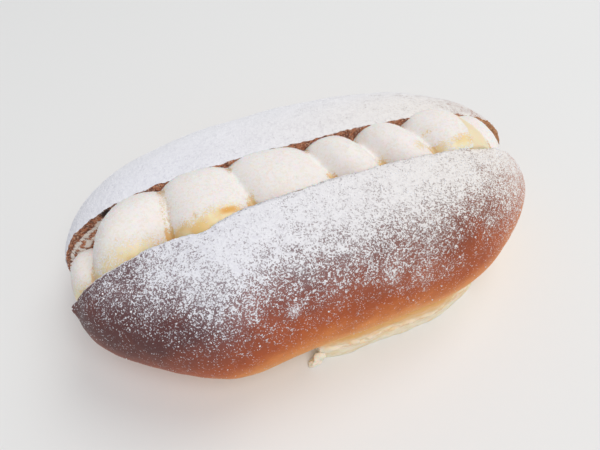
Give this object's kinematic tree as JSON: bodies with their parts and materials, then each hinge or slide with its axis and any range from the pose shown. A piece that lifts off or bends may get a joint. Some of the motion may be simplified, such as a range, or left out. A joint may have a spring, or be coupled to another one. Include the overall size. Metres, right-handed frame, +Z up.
{
  "type": "cream bun",
  "caption": "Long oval bun, slit open along its top and filled with a row of piped mounds of cream, resting on its flat base.",
  "frame": {"origin": "on the floor, below the middle of the whole", "axes": "+X along the bun, towards the end where the slit closes; +Y across it, towards the far lobe; +Z up"},
  "size_m": [0.1658, 0.0899, 0.0524],
  "materials": {
    "crust": "baked crust, satin, dusted with icing sugar",
    "cream": "soft whipped cream, dusted with icing sugar"
  },
  "bodies": {
    "root": {"bun": "crust", "cream": "cream"}
  },
  "joints": []
}
